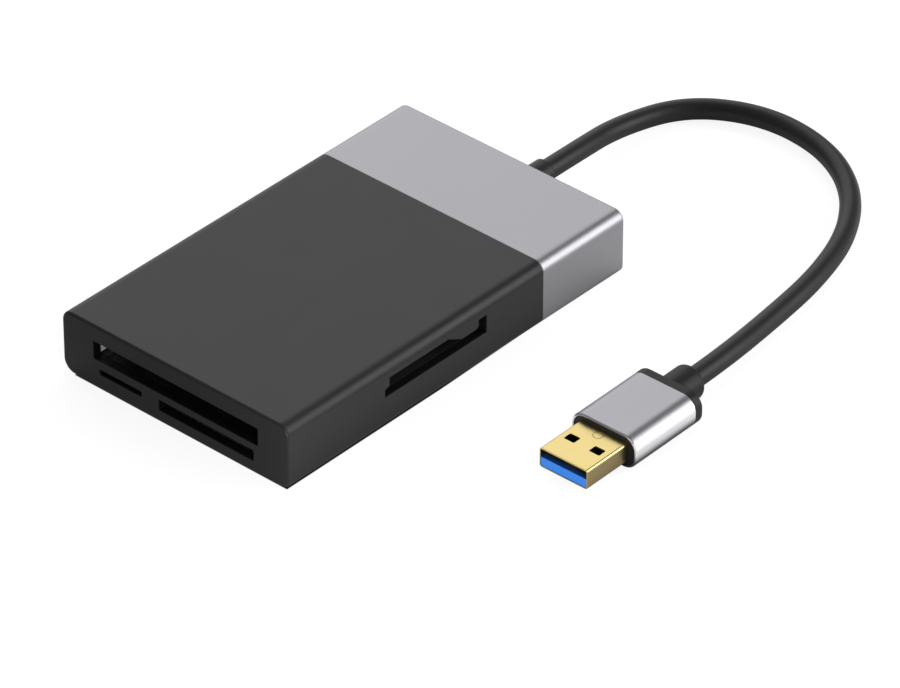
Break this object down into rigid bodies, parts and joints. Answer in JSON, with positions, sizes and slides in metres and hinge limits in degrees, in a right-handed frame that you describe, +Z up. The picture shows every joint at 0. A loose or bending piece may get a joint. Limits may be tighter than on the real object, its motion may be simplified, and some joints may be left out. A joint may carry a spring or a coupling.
{
  "type": "usb hub card reader",
  "caption": "Flat card reader and hub with card slots in the front and one side, a metal rear cap, and a short fixed cable that ends in a full size plug.",
  "frame": {"origin": "middle of the body's underside, without the cable", "axes": "+Y from the card slots towards the cable exit, +Z up out of the broad top face, +X towards the side slot"},
  "size_m": [0.106, 0.1599, 0.0145],
  "materials": {
    "black_plastic": "satin moulded",
    "grey_metal": "fine satin anodised",
    "board": "solder mask",
    "socket_steel": "tinned sheet",
    "socket_plastic": "moulded",
    "gold": "plated",
    "blue_plastic": "moulded",
    "chip_plastic": "moulded",
    "chip_ceramic": "fired",
    "cable_rubber": "soft satin",
    "wire_plastic": "insulation",
    "plug_plastic": "moulded"
  },
  "bodies": {
    "root": {"front_housing": "black_plastic", "rear_cap": "grey_metal", "main_board": "board", "wide_guide_left": "socket_steel", "wide_guide_right": "socket_steel", "wide_header": "socket_plastic", "wide_pins": "gold", "card_base": "socket_plastic", "card_cover": "socket_steel", "card_contacts": "gold", "micro_base": "socket_plastic", "micro_cover": "socket_steel", "micro_contacts": "gold", "side_base": "socket_plastic", "side_cover": "socket_steel", "side_contacts": "gold", "usb_port_1_shell": "socket_steel", "usb_port_1_tongue": "blue_plastic", "usb_port_1_contacts": "gold", "usb_port_2_shell": "socket_steel", "usb_port_2_tongue": "blue_plastic", "usb_port_2_contacts": "gold", "hub_controller": "chip_plastic", "card_controller": "chip_plastic", "flash_memory": "chip_plastic", "card_crystal": "socket_steel", "hub_crystal": "socket_steel", "power_inductor": "chip_plastic", "chip_capacitors": "chip_ceramic", "chip_resistors": "chip_plastic", "cable_gland": "cable_rubber", "cable_inner": "cable_rubber", "cable_wires": "wire_plastic", "cable": "cable_rubber", "plug_shell": "gold", "plug_tongue": "blue_plastic", "plug_contacts": "gold", "plug_core": "plug_plastic", "plug_sleeve": "grey_metal", "plug_strain_relief": "plug_plastic", "plug_cable_tail": "cable_rubber"}
  },
  "joints": []
}
